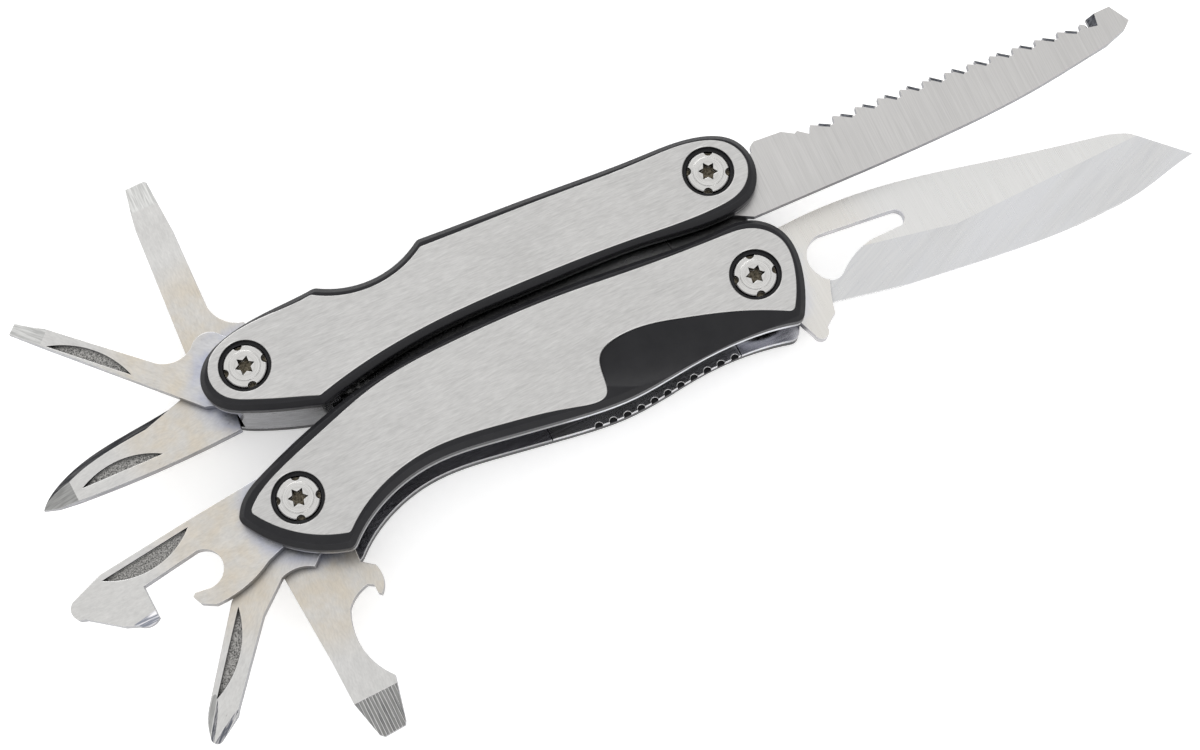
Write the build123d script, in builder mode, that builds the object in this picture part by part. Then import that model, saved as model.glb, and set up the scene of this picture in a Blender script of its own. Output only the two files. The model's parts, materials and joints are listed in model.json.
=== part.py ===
"""A pliers multi tool, closed, with its blades and drivers fanned out of both handles.

The tool lies flat on its back scales. X runs along the midline between the handles, towards the head end where
the pliers, the knife and the saw pivot. Z runs through the thickness. Each handle has a plane of its own, with
its origin at the head pin and its x along the line of its two pins, and each tool is drawn about its tool pin.
"""

import os
from math import cos, pi, radians, sin

from build123d import *

# Driving dimensions, mm and degrees
PIN_SPAN = 86.8  # head pin to tool pin in either handle
HEAD_GAP = 20.4  # between the two head pins
LEAN = 1.5  # each handle leans this far from the midline, wider at the tool end
KNIFE_PIN = (22.8, -10.8)
SAW_PIN = (23.7, KNIFE_PIN[1] + HEAD_GAP)
RIVET = (5.3, 0.6)  # of the pliers

SCALE_T = 2.6
LINER_T = 1.0
CHANNEL = 9.2  # between the liners of one handle
PLATE_T = 0.85
PLATE_RISE = 0.1  # the plate stands this far above its scale
TOOL_T = 2.2
SAW_T = 1.5
LAYER_GAP = 0.08
TANG_R = 5.55  # round root of a small tool

BARREL_R = 2.5
BARREL_BORE_R = 1.5
RUNNING = 0.04  # radial clearance of a pin in its hole
SCREW_R = 3.75
SCREW_RECESS_R = 3.9
SCREW_RECESS = 1.6
PLATE_HOLE_R = 4.55

# Levels through the thickness
BACK_LINER_Z = PLATE_RISE + SCALE_T
CHANNEL_Z = BACK_LINER_Z + LINER_T
FRONT_LINER_Z = CHANNEL_Z + CHANNEL
FRONT_SCALE_Z = FRONT_LINER_Z + LINER_T
TOP = FRONT_SCALE_Z + SCALE_T + PLATE_RISE
MIDDLE = Plane.XY.offset(TOP / 2)
LAYERS = [CHANNEL_Z + 0.06 + n * (TOOL_T + LAYER_GAP) for n in range(4)]  # back to front
SAW_Z = FRONT_LINER_Z - 0.1 - SAW_T
HEAD_Z = (LAYERS[1], SAW_Z - 0.1)  # the pliers head, between the knife's layer and the saw's
LAP_Z = (HEAD_Z[0] + HEAD_Z[1]) / 2


def handle_plane(pin, lean):
    """A handle's own plane: origin at its head pin, x along its two pins."""
    return Plane(origin=(*pin, 0), x_dir=(cos(radians(lean)), sin(radians(lean)), 0), z_dir=(0, 0, 1))


def moved(plane, x, y):
    """The same plane with its origin at a local point."""
    return Plane(origin=plane.from_local_coords((x, y, 0)), x_dir=plane.x_dir, z_dir=plane.z_dir)


KNIFE = handle_plane(KNIFE_PIN, LEAN)
SAW = handle_plane(SAW_PIN, -LEAN)
KNIFE_TOOLS = moved(KNIFE, -PIN_SPAN, 0)
SAW_TOOLS = moved(SAW, -PIN_SPAN, 0)
HEAD = Plane(origin=(*RIVET, 0))  # the jaws run from the rivet along -x
PINS = [(0, 0), (-PIN_SPAN, 0)]

os.makedirs("parts", exist_ok=True)


def save(builder, name):
    """Label a finished piece and write it."""
    builder.part.label = name
    export_step(builder.part, f"parts/{name}.step")


def round_corners(builder, points, radius):
    """Round the sketch corners nearest the given points."""
    fillet([builder.vertices().sort_by_distance(Vector(*p))[0] for p in points], radius)


def edge_at(builder, plane, x, y, z):
    """The edge of a part that passes nearest a local point."""
    return builder.edges().sort_by_distance(Vector(*plane.from_local_coords((x, y, z))))[0]


def ground_facet(plane, z, start, end, fall, reach=2.5):
    """Grind a facet into a flat face: it leaves the face along a line and falls away to the line's right."""
    run = Vector(end[0] - start[0], end[1] - start[1], 0)
    along = run.normalized()
    down = Vector(along.Y * cos(radians(fall)), -along.X * cos(radians(fall)), -sin(radians(fall)))
    local = Plane(origin=(0, 0, 0), x_dir=plane.x_dir, z_dir=plane.z_dir)
    facet = Plane(
        origin=plane.from_local_coords((*start, z)),
        x_dir=local.from_local_coords(along),
        z_dir=local.from_local_coords(down.cross(along)),
    )
    with BuildSketch(facet) as ground:
        with Locations((run.length / 2, 0)):
            Rectangle(run.length, 2 * reach)
    extrude(ground.sketch, amount=reach, mode=Mode.SUBTRACT)


# ---------------------------------------------------------------- handle outlines

def saw_handle_outline():
    """Outline of the saw handle, with the shallow notch on its outer side."""
    with BuildLine() as outline:
        notch = ThreePointArc((-70.8, 8.3), (-61.5, 5.7), (-51.3, 9.2))
        nose = Spline(notch @ 1, (-30.0, 8.4), (-10.0, 7.6), (1.0, 6.8), (6.6, 3.8), (8.2, -1.2), (5.6, -6.6),
                      (-0.5, -8.3), (-15.0, -7.2), (-35.0, -6.8), (-55.0, -7.2), (-66.5, -8.9), (-77.0, -11.5))
        Spline(nose @ 1, (-83.0, -9.7), (-89.0, -7.5), (-93.6, -4.6), (-95.0, -0.6), (-93.0, 3.6), (-88.4, 6.1),
               (-80.0, 7.6), notch @ 0)
    make_face(outline.edges())


def saw_plate_outline():
    """Outline of the plate let into the saw handle."""
    with BuildLine() as outline:
        notch = ThreePointArc((-71.8, 7.2), (-61.5, 4.3), (-51.3, 7.6))
        nose = Spline(notch @ 1, (-30.0, 7.1), (-10.0, 6.5), (0.8, 5.8), (5.5, 3.2), (6.9, -1.2), (4.4, -5.2),
                      (-1.5, -6.7), (-17.0, -6.1), (-36.0, -5.5), (-55.0, -6.0), (-66.5, -7.5), (-77.0, -10.1))
        Spline(nose @ 1, (-82.5, -8.1), (-88.0, -6.0), (-92.0, -3.6), (-93.3, -0.2), (-91.8, 3.6), (-87.6, 5.9),
               (-80.0, 6.8), notch @ 0)
    make_face(outline.edges())


def knife_handle_outline():
    """Outline of the knife handle: bowed on its inner side, pointed at the tool end."""
    with BuildLine() as outline:
        back = Spline((-97.3, 1.0), (-95.0, 4.2), (-90.0, 6.8), (-80.6, 10.0), (-67.6, 13.0), (-50.0, 14.0),
                      (-33.0, 13.3), (-16.0, 11.4), (-3.0, 10.2), (4.0, 9.3), (8.0, 5.0), (8.2, -1.2), (3.7, -10.9))
        palm = Spline(back @ 1, (-5.0, -9.1), (-16.0, -8.9), (-29.0, -9.6), (-40.4, -8.1), (-52.0, -5.9),
                      (-64.5, -4.5), (-75.0, -7.0), (-82.0, -11.8))
        ThreePointArc(palm @ 1, (-91.5, -6.8), back @ 0)
    make_face(outline.edges())


def knife_plate_outline():
    """Outline of the plate let into the knife handle, cut back round the thumb scoop."""
    with BuildLine() as outline:
        back = Spline((-95.0, 1.3), (-93.0, 3.1), (-88.0, 5.6), (-78.0, 8.8), (-67.6, 11.7), (-52.0, 12.8),
                      (-33.0, 12.0), (-16.0, 10.0), (-2.0, 8.8), (3.6, 7.6), (7.0, 3.6), (6.9, -1.0), (2.9, -8.9))
        scoop = Spline(back @ 1, (-4.5, -5.0), (-15.0, -1.2), (-25.5, 0.8), (-30.4, -0.8), (-31.5, -4.0),
                       (-32.4, -7.4), (-39.0, -6.9), (-50.0, -4.3), (-63.5, -2.6), (-73.0, -4.4), (-81.4, -9.4))
        ThreePointArc(scoop @ 1, (-89.6, -5.2), back @ 0)
    make_face(outline.edges())


SAW_CORNERS = [(-70.8, 8.3), (-51.3, 9.2), (-77.0, -11.5)]
SAW_PLATE_CORNERS = [(-71.8, 7.2), (-51.3, 7.6), (-77.0, -10.1)]
KNIFE_CORNERS = [(-97.3, 1.0), (3.7, -10.9), (-82.0, -11.8)]
KNIFE_PLATE_CORNERS = [(-95.0, 1.3), (2.9, -8.9), (-81.4, -9.4)]


# ---------------------------------------------------------------- handle pieces

def front_plate(plane, outline, corners):
    """The brushed steel plate of a front scale, with a bevelled edge and a hole round each screw."""
    with BuildPart() as plate:
        with BuildSketch(plane.offset(TOP - PLATE_T)) as profile:
            outline()
            round_corners(profile, corners, 1.0)
            with Locations(*PINS):
                Circle(PLATE_HOLE_R, mode=Mode.SUBTRACT)
        extrude(amount=PLATE_T)
        chamfer(plate.faces().sort_by(Axis.Z)[-1].edges(), 0.15)
    return plate


def front_scale(plane, outline, corners, plate_outline, plate_corners, scooped):
    """A front scale: bevelled rim, a pocket for its plate, screw recesses and, on the knife handle, the scoop."""
    bevel = 0.9
    with BuildPart() as scale:
        with BuildSketch(plane.offset(FRONT_SCALE_Z)) as profile:
            outline()
            round_corners(profile, corners, 1.6)
        extrude(amount=SCALE_T)
        chamfer(scale.faces().sort_by(Axis.Z)[-1].edges(), bevel)
        with BuildSketch(plane.offset(TOP - PLATE_T)) as pocket:
            plate_outline()
            round_corners(pocket, plate_corners, 1.0)
        extrude(amount=PLATE_T, mode=Mode.SUBTRACT)
        with BuildSketch(plane.offset(TOP - SCREW_RECESS)):
            with Locations(*PINS):
                Circle(SCREW_RECESS_R)
        extrude(amount=SCREW_RECESS, mode=Mode.SUBTRACT)
        with BuildSketch(plane.offset(FRONT_SCALE_Z)):
            with Locations(*PINS):
                Circle(BARREL_R + RUNNING)
        extrude(amount=SCALE_T, mode=Mode.SUBTRACT)
        if scooped:
            with BuildSketch(plane.offset(FRONT_SCALE_Z), mode=Mode.PRIVATE) as covered:
                plate_outline()
                round_corners(covered, plate_corners, 1.0)
            add(thumb_scoop(plane, covered.sketch_local), mode=Mode.SUBTRACT)
    return scale


def thumb_scoop(plane, covered):
    """The shallow dish beside the plate for a thumb, deepest in the middle and running out over the outer edge."""
    depth = 1.75
    across_r = 12.0
    along_r = 160.0
    turn = radians(LEAN - 18)
    with BuildPart(mode=Mode.PRIVATE) as dish:
        lowest = plane.from_local_coords((-16.1, -6.4, TOP - depth))
        ring = Plane(
            origin=lowest + Vector(0, 0, along_r),
            x_dir=(cos(turn), sin(turn), 0),
            z_dir=(-sin(turn), cos(turn), 0),
        )
        with Locations(ring.location):
            Torus(along_r - across_r, across_r)
        with BuildSketch(plane.offset(FRONT_SCALE_Z)):
            with Locations((-15.0, -7.0)):
                Rectangle(38, 17)
            add(covered, mode=Mode.SUBTRACT)
        extrude(amount=2 * SCALE_T, mode=Mode.INTERSECT)
    return dish.part


def lock_leaf_outline(grow):
    """The leaf of the lock in the back liner, ending just behind the knife's tang."""
    with BuildLine() as outline:
        Polyline(
            (-6.7 + grow, -10.5 - grow),
            (-6.7 + grow, -3.2 + grow),
            (-43.0 - grow, 0.4 + grow),
            (-43.0 - grow, -10.5 - grow),
            close=True,
        )
    make_face(outline.edges())


def liner(plane, outline, corners, z, rivet_at=None, leaf=False):
    """A steel liner, flush with its scale, with the pivot holes and, where given, a spring rivet hole."""
    with BuildPart() as sheet:
        with BuildSketch(plane.offset(z)) as profile:
            outline()
            round_corners(profile, corners, 1.6)
            with Locations(*PINS):
                Circle(BARREL_R + RUNNING, mode=Mode.SUBTRACT)
            if rivet_at:
                with Locations(rivet_at):
                    Circle(0.7, mode=Mode.SUBTRACT)
        extrude(amount=LINER_T)
        if leaf:
            with BuildSketch(plane.offset(z)):
                lock_leaf_outline(0.2)
            extrude(amount=LINER_T, mode=Mode.SUBTRACT)
    return sheet


def mirrored(builder):
    """The same piece on the other side of the tool."""
    with BuildPart() as other:
        mirror(builder.part, about=MIDDLE)
    return other


def star(points, outer, inner):
    """A star with straight points, for the screws' driver recess."""
    corners = []
    for i in range(points):
        for radius, turn in ((outer, 0), (inner, 0.5)):
            angle = radians(360 * (i + turn) / points)
            corners.append((radius * cos(angle), radius * sin(angle)))
    Polygon(*corners, align=None)


def pivot_screws(plane, turns, name):
    """Four screws, one at each end of each pivot barrel, each left at its own turn."""
    head = 1.25
    wrench_depth = 0.9
    with BuildPart() as screws:
        with BuildSketch(plane.offset(TOP - SCREW_RECESS)):
            with Locations(*PINS):
                Circle(SCREW_R)
        extrude(amount=head)
        chamfer(screws.faces().sort_by(Axis.Z)[-2:].edges(), 0.2)
        with BuildSketch(plane.offset(TOP - SCREW_RECESS + head)):
            with Locations(*PINS):
                Circle(2.75)
        extrude(amount=0.2, taper=30)
        for pin, turn in zip(PINS, turns):
            with BuildSketch(plane.offset(TOP - SCREW_RECESS + head - wrench_depth)):
                with Locations(pin):
                    with PolarLocations(SCREW_R, 4, start_angle=turn):
                        Circle(0.8)
                    with PolarLocations(0, 1, start_angle=turn):
                        star(6, 1.8, 1.05)
            extrude(amount=head, mode=Mode.SUBTRACT)
        with BuildSketch(plane.offset(TOP - SCREW_RECESS)):
            with Locations(*PINS):
                Circle(BARREL_BORE_R - 0.05)
        extrude(amount=-4.0)
        mirror(about=MIDDLE)
    save(screws, name)


def pivot_barrels(plane, name):
    """The two threaded barrels that the blades, jaws and tools turn on."""
    gap = 0.05
    with BuildPart() as barrels:
        with BuildSketch(plane.offset(SCREW_RECESS + gap)):
            with Locations(*PINS):
                Circle(BARREL_R)
                Circle(BARREL_BORE_R, mode=Mode.SUBTRACT)
        extrude(amount=TOP - 2 * (SCREW_RECESS + gap))
    save(barrels, name)


def spacers(plane, rings, name):
    """Plain rings on the barrels, each given by its pin, its radius and its two levels."""
    with BuildPart() as group:
        for pin, radius, low, high in rings:
            with BuildSketch(plane.offset(low)):
                with Locations(pin):
                    Circle(radius)
                    Circle(BARREL_R + RUNNING, mode=Mode.SUBTRACT)
            extrude(amount=high - low)
    save(group, name)


# ---------------------------------------------------------------- backsprings

SAW_RIVET = (-46.0, -5.6)
KNIFE_RIVET = (-46.0, 12.0)


def saw_backspring():
    """Block on the inner edge at the tool end, and a tail along the back liner to its rivet."""
    with BuildPart() as spring:
        with BuildSketch(SAW.offset(CHANNEL_Z + 0.02)) as profile:
            saw_handle_outline()
            round_corners(profile, SAW_CORNERS, 1.6)
            with BuildLine(mode=Mode.PRIVATE) as region:
                Polyline((-91.2, 0), (-91.2, -15), (-75.8, -15), (-75.8, -6.7),
                         (-80.4, -6.7), (-87.3, -5.75), (-87.3, 0),
                         close=True)
            make_face(region.edges(), mode=Mode.INTERSECT)
            with Locations((-PIN_SPAN, 0)):
                Circle(TANG_R + 0.1, mode=Mode.SUBTRACT)
        extrude(amount=CHANNEL - 0.04)
        with BuildSketch(SAW.offset(CHANNEL_Z + 0.02)):
            with BuildLine():
                Polyline((-77.0, -7.2), (-77.0, -9.4), (-62.0, -7.4), (-44.0, -6.5), (-44.0, -4.7), (-62.0, -5.2),
                         close=True)
            make_face()
            with Locations(SAW_RIVET):
                Circle(0.7, mode=Mode.SUBTRACT)
        extrude(amount=TOOL_T - 0.1)
    save(spring, "saw_handle_backspring")


def knife_backspring():
    """Block on the inner edge at the tool end, clear of the knife's layer, and a tail along the front liner."""
    with BuildPart() as spring:
        with BuildSketch(KNIFE.offset(LAYERS[1])) as profile:
            knife_handle_outline()
            round_corners(profile, KNIFE_CORNERS, 1.6)
            with BuildLine(mode=Mode.PRIVATE) as region:
                Polyline((-91.2, 0), (-91.2, 15), (-76.0, 15), (-76.0, 8.1),
                         (-79.8, 6.5), (-87.3, 5.75), (-87.3, 0),
                         close=True)
            make_face(region.edges(), mode=Mode.INTERSECT)
            with Locations((-PIN_SPAN, 0)):
                Circle(TANG_R + 0.1, mode=Mode.SUBTRACT)
        extrude(amount=FRONT_LINER_Z - 0.02 - LAYERS[1])
        with BuildSketch(KNIFE.offset(SAW_Z + 0.1)):
            with BuildLine():
                Polyline((-77.5, 8.0), (-77.5, 10.0), (-66.0, 12.4), (-44.0, 12.9), (-44.0, 11.1), (-66.0, 10.7),
                         close=True)
            make_face()
            with Locations(KNIFE_RIVET):
                Circle(0.7, mode=Mode.SUBTRACT)
        extrude(amount=FRONT_LINER_Z - 0.02 - SAW_Z - 0.1)
    save(spring, "knife_handle_backspring")


def spring_rivet(plane, at, low, high, name):
    """The rivet that holds a backspring's tail to its liner."""
    with BuildPart() as rivet:
        with BuildSketch(plane.offset(low)):
            with Locations(at):
                Circle(0.68)
        extrude(amount=high - low)
    save(rivet, name)


def handle(plane, outline, corners, plate_outline, plate_corners, name, turns, scooped):
    """The scales and plates of one handle, front and back."""
    plate = front_plate(plane, plate_outline, plate_corners)
    save(plate, f"{name}_front_plate")
    save(mirrored(plate), f"{name}_back_plate")
    scale = front_scale(plane, outline, corners, plate_outline, plate_corners, scooped)
    save(scale, f"{name}_front_scale")
    save(mirrored(scale), f"{name}_back_scale")
    pivot_screws(plane, turns, f"{name}_screws")
    pivot_barrels(plane, f"{name}_pivot_barrels")


handle(
    KNIFE,
    knife_handle_outline,
    KNIFE_CORNERS,
    knife_plate_outline,
    KNIFE_PLATE_CORNERS,
    "knife_handle",
    turns=(-12, -17),
    scooped=True,
)
handle(
    SAW,
    saw_handle_outline,
    SAW_CORNERS,
    saw_plate_outline,
    SAW_PLATE_CORNERS,
    "saw_handle",
    turns=(-24, -1),
    scooped=False,
)

save(liner(KNIFE, knife_handle_outline, KNIFE_CORNERS, BACK_LINER_Z, leaf=True), "knife_handle_back_liner")
save(liner(KNIFE, knife_handle_outline, KNIFE_CORNERS, FRONT_LINER_Z, KNIFE_RIVET), "knife_handle_front_liner")
save(liner(SAW, saw_handle_outline, SAW_CORNERS, BACK_LINER_Z, SAW_RIVET), "saw_handle_back_liner")
save(liner(SAW, saw_handle_outline, SAW_CORNERS, FRONT_LINER_Z), "saw_handle_front_liner")

knife_backspring()
saw_backspring()
spring_rivet(KNIFE, KNIFE_RIVET, SAW_Z + 0.1, FRONT_SCALE_Z, "knife_handle_spring_rivet")
spring_rivet(SAW, SAW_RIVET, BACK_LINER_Z, CHANNEL_Z + TOOL_T - 0.1, "saw_handle_spring_rivet")

spacers(
    KNIFE,
    [((-PIN_SPAN, 0), 5.0, LAYERS[0], LAYERS[0] + TOOL_T), ((0, 0), 5.0, HEAD_Z[1] + 0.08, FRONT_LINER_Z - 0.08)],
    "knife_handle_spacers",
)
spacers(SAW, [((-PIN_SPAN, 0), 4.8, LAYERS[3], LAYERS[3] + TOOL_T)], "saw_handle_spacers")

# Lock leaf, flush with the handle's outer edge, with grip notches along that edge
with BuildSketch(KNIFE.offset(BACK_LINER_Z), mode=Mode.PRIVATE) as rim:
    knife_handle_outline()
    round_corners(rim, KNIFE_CORNERS, 1.6)
palm_edge = rim.edges().sort_by_distance((-20.0, -9.2))[0]
with BuildPart() as lock_leaf:
    with BuildSketch(KNIFE.offset(BACK_LINER_Z)) as leaf:
        lock_leaf_outline(0)
        add(rim.sketch_local, mode=Mode.INTERSECT)
    extrude(amount=LINER_T)
    with BuildSketch(KNIFE.offset(BACK_LINER_Z)) as notches:
        for n in range(11):
            with Locations(palm_edge.position_at(1 - (10.6 + n * 2.7) / palm_edge.length)):
                Circle(0.72)
    extrude(notches.sketch, amount=LINER_T, mode=Mode.SUBTRACT)
save(lock_leaf, "knife_lock_leaf")


# ---------------------------------------------------------------- head blades

def knife_outline():
    """The knife: clipped point, straight heel with a kick, round tang on the head pin."""
    with BuildLine() as outline:
        spine = Spline((7.5, 8.4), (16.9, 8.5), (31.0, 6.9), (52.1, 1.8), (68.1, -2.0), (74.6, -4.3),
                       tangents=[(1, 0.05), (1, -0.6)])
        clip = Line(spine @ 1, (77.4, -7.0))
        point = Line(clip @ 1, (83.1, -12.5))
        belly = Spline(point @ 1, (73.1, -14.3), (54.7, -14.8), (32.3, -12.0), (20.0, -10.2),
                       tangents=[(-1, -0.1), (-1, 0.15)])
        choil = Polyline(belly @ 1, (14.2, -10.5), (12.2, -10.6), (11.3, -10.0), (8.9, -11.7))
        kick = ThreePointArc(choil @ 1, (7.6, -13.3), (6.3, -12.0))
        heel = Line(kick @ 1, (5.0, -8.5))
        foot = Line(heel @ 1, (0.0, -6.3))
        tang = ThreePointArc(foot @ 1, (-6.3, 0.3), (0.5, 6.6))
        Line(tang @ 1, spine @ 0)
    make_face(outline.edges())


def thumb_slot_outline():
    """The slot through the knife for opening it with the thumb."""
    with BuildLine() as outline:
        top = Line((15.6, 4.1), (29.4, 2.3))
        right = ThreePointArc(top @ 1, (30.9, 0.5), (29.6, -1.0))
        under = Line(right @ 1, (23.7, -0.9))
        dip = ThreePointArc(under @ 1, (20.1, -1.8), (16.9, -3.6))
        foot = ThreePointArc(dip @ 1, (14.2, -4.4), (12.1, -2.4))
        ThreePointArc(foot @ 1, (12.1, 2.0), top @ 0)
    make_face(outline.edges())


KNIFE_Z = LAYERS[0]
with BuildPart() as knife_blade:
    with BuildSketch(KNIFE.offset(KNIFE_Z + TOOL_T / 2)):
        knife_outline()
    extrude(amount=TOOL_T / 2)
    # The long flat grind, then a second one that carries it up towards the slot
    for start, turn, fall in (((45.0, -5.2), 0.0, 6.4), ((30.0, -3.2), -13.0, 7.2)):
        grind_x = Vector(cos(radians(LEAN + turn)), sin(radians(LEAN + turn)), 0)
        grind_y = Vector(-grind_x.Y * cos(radians(fall)), grind_x.X * cos(radians(fall)), sin(radians(fall)))
        corner = KNIFE.from_local_coords((*start, KNIFE_Z + TOOL_T))
        left = 13.6 - start[0]
        with BuildSketch(Plane(origin=corner, x_dir=grind_x, z_dir=grind_x.cross(grind_y))):
            with BuildLine():
                plunge = ThreePointArc((left + 4.5, 4.0), (left + 1.0, -3.0), (left, -14.0))
                Polyline(plunge @ 1, (48.0, -14.0), (48.0, 4.0), plunge @ 0)
            make_face()
        extrude(amount=3, mode=Mode.SUBTRACT)
    mirror(about=Plane.XY.offset(KNIFE_Z + TOOL_T / 2))
    with BuildSketch(KNIFE.offset(KNIFE_Z)) as holes:
        thumb_slot_outline()
        Circle(BARREL_R + RUNNING)
    extrude(amount=TOOL_T, mode=Mode.SUBTRACT)
save(knife_blade, "knife_blade")


TOOTH_PITCH = 4.36
TEETH = 12
FIRST_TOOTH_X = 20.8


def tooth_peak(i):
    """Where a tooth of the saw has its tall peak."""
    run = i * TOOTH_PITCH
    return FIRST_TOOTH_X + run, 1.75 - 0.0032 * run**1.64


def low_peak(i):
    """The back of a tooth's low peak, from its tip down to the gullet; the tips stand higher mid-blade."""
    x, top = tooth_peak(i)
    rise = 0.5 * sin(pi * i / (TEETH - 1))
    return (x + 1.55, top - 0.25 + rise), (x + 3.4, top - 1.22)


def saw_outline():
    """The saw: twin-peaked teeth along the top, a hooked end and a straight back."""
    teeth = []
    for i in range(TEETH):
        x, top = tooth_peak(i)
        teeth += [(x, top), (x + 1.4, top - 0.72), *low_peak(i), (x + 3.45, top - 1.52), (x + 4.1, top - 1.42)]
    with BuildLine() as outline:
        edge = Polyline((9.4, 2.4), (10.3, 3.0), (15.5, 2.7), (17.6, 1.4), (18.2, 1.7), (20.1, 0.2), *teeth,
                        tooth_peak(TEETH), (74.8, -1.5), (74.8, 0.2), (76.5, 0.5), (79.5, 0.6), (81.6, -3.2),
                        (80.2, -4.4), (76.0, -5.8))
        back = Spline(edge @ 1, (61.5, -8.0), (42.0, -9.4), (20.0, -9.7), tangents=[(-1, -0.15), (-1, 0)])
        heel = Polyline(back @ 1, (4.6, -9.8), (0.5, -7.6))
        tang = ThreePointArc(heel @ 1, (-6.2, 0.0), (3.0, 5.4))
        Polyline(tang @ 1, (7.3, 1.0), (9.1, 1.2), edge @ 0)
    make_face(outline.edges())


with BuildPart() as saw_blade:
    with BuildSketch(SAW.offset(SAW_Z)):
        saw_outline()
        Circle(BARREL_R + RUNNING, mode=Mode.SUBTRACT)
    extrude(amount=SAW_T)
    # The low peak of each tooth is ground on the front, and so is the hook
    facet = 0.62
    for i in range(TEETH):
        tip, gullet = (Vector(*point) for point in low_peak(i))
        inward = (gullet - tip).normalized().rotate(Axis.Z, -90) * facet
        ground_facet(SAW, SAW_Z + SAW_T, tuple(gullet + inward)[:2], tuple(tip + inward)[:2], 25, 1.2)
    ground_facet(SAW, SAW_Z + SAW_T, (76.5, 0.7), (76.0, -1.9), 28, 1.9)
save(saw_blade, "saw_blade")


# ---------------------------------------------------------------- small tools, each about its tool pin


def nick(plane, z, start, middle, end, depth=0.7):
    """A nail nick: a shallow crescent cut into the front face."""
    with BuildSketch(plane.offset(z + TOOL_T - depth)) as crescent:
        with BuildLine():
            bow = ThreePointArc(start, middle, end)
            Line(bow @ 1, bow @ 0)
        make_face()
    extrude(crescent.sketch, amount=depth, mode=Mode.SUBTRACT)


def taper_tip(plane, z, tip, toward, length, width, end_t):
    """Grind both faces of a driver down to its end thickness over the last stretch."""
    fall = (TOOL_T - end_t) / 2 / length
    back = (Vector(*toward) - Vector(*tip)).normalized()
    for side in (1, -1):
        face_z = z + (TOOL_T if side > 0 else 0)
        start = Vector(*tip) + back * length
        along = Vector(back.X, back.Y, side * fall).normalized()
        across = Vector(-back.Y, back.X, 0)
        local = Plane(origin=(0, 0, 0), x_dir=plane.x_dir, z_dir=plane.z_dir)
        origin = plane.from_local_coords((start.X, start.Y, face_z))
        up = along.cross(across) * (1 if along.cross(across).Z * side > 0 else -1)
        ground = Plane(origin=origin, x_dir=local.from_local_coords(along), z_dir=local.from_local_coords(up))
        with BuildSketch(ground) as swath:
            with Locations((-length, 0)):
                Rectangle(2 * length, width)
        extrude(swath.sketch, amount=TOOL_T, mode=Mode.SUBTRACT)


def corrugate_tip(plane, face_z, tip, toward, length, drop, count, pitch):
    """Shallow flutes side by side down the ground front face of a driver."""
    radius, depth = 0.9, 0.14
    back = (Vector(*toward) - Vector(*tip)).normalized()
    down = Vector(-back.X * length, -back.Y * length, -drop).normalized()
    local = Plane(origin=(0, 0, 0), x_dir=plane.x_dir, z_dir=plane.z_dir)
    start = Vector(*tip) + back * length
    section = Plane(
        origin=plane.from_local_coords((start.X, start.Y, face_z)),
        x_dir=local.from_local_coords(Vector(-back.Y, back.X, 0)),
        z_dir=local.from_local_coords(down),
    )
    with BuildSketch(section) as flutes:
        for i in range(count):
            with Locations(((i - (count - 1) / 2) * pitch, depth - radius)):
                Circle(radius)
    extrude(flutes.sketch, amount=1.2 * length, mode=Mode.SUBTRACT)


def small_driver_outline():
    """Small flat driver, with a thumb rise over its tang."""
    with BuildLine() as outline:
        end = Line((-35.7, 23.8), (-34.1, 25.3))
        shoulder = ThreePointArc(end @ 1, (-32.3, 23.9), (-29.7, 22.2))
        upper = Line(shoulder @ 1, (-14.2, 8.5))
        hollow = ThreePointArc(upper @ 1, (-10.6, 7.4), (-7.6, 8.5))
        rise = ThreePointArc(hollow @ 1, (-4.4, 10.15), (-1.9, 8.6))
        into = Line(rise @ 1, (2.2, 5.1))
        tang = ThreePointArc(into @ 1, (5.2, -2.0), (-4.2, -3.63))
        out = Line(tang @ 1, (-9.2, -2.2))
        Line(out @ 1, end @ 0)
    make_face(outline.edges())


with BuildPart() as small_flat_driver:
    with BuildSketch(SAW_TOOLS.offset(LAYERS[2])):
        small_driver_outline()
        Circle(BARREL_R + RUNNING, mode=Mode.SUBTRACT)
    extrude(amount=TOOL_T)
    nick(SAW_TOOLS, LAYERS[2], (-30.5, 19.0), (-24.2, 15.9), (-18.7, 8.2))
    taper_tip(SAW_TOOLS, LAYERS[2], (-34.9, 24.6), (-20.0, 10.2), 6.0, 8.0, 0.9)
save(small_flat_driver, "small_flat_driver")


def pointed_blade_outline():
    """Pointed blade with a curved cutting edge and a straight back."""
    with BuildLine() as outline:
        cut = Spline((-41.3, -7.4), (-36.7, -3.8), (-29.1, -1.3), (-21.9, -0.2), (-14.0, 0.9),
                     tangents=[(0.7, 1), (1, 0.15)])
        into = Line(cut @ 1, (-3.2, 4.55))
        tang = ThreePointArc(into @ 1, (5.2, 2.0), (2.0, -5.2))
        foot = Polyline(tang @ 1, (-4.6, -3.3), (-5.0, -7.8))
        back = ThreePointArc(foot @ 1, (-24.0, -8.6), (-38.8, -8.1))
        Line(back @ 1, cut @ 0)
    make_face(outline.edges())


with BuildPart() as pointed_blade:
    with BuildSketch(SAW_TOOLS.offset(LAYERS[1])):
        pointed_blade_outline()
        Circle(BARREL_R + RUNNING, mode=Mode.SUBTRACT)
    extrude(amount=TOOL_T)
    nick(SAW_TOOLS, LAYERS[1], (-33.8, -6.5), (-26.2, -4.4), (-18.9, -6.4))
    taper_tip(SAW_TOOLS, LAYERS[1], (-42.2, -7.6), (-20.0, -5.5), 7.0, 14.0, 0.5)
    front = pointed_blade.faces().filter_by(Axis.Z).sort_by(Axis.Z)[-1]
    cutting_edge = edge_at(pointed_blade, SAW_TOOLS, -21.9, -0.2, LAYERS[1] + TOOL_T)
    chamfer(cutting_edge, 1.2, 0.7, reference=front)
save(pointed_blade, "pointed_blade")


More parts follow.
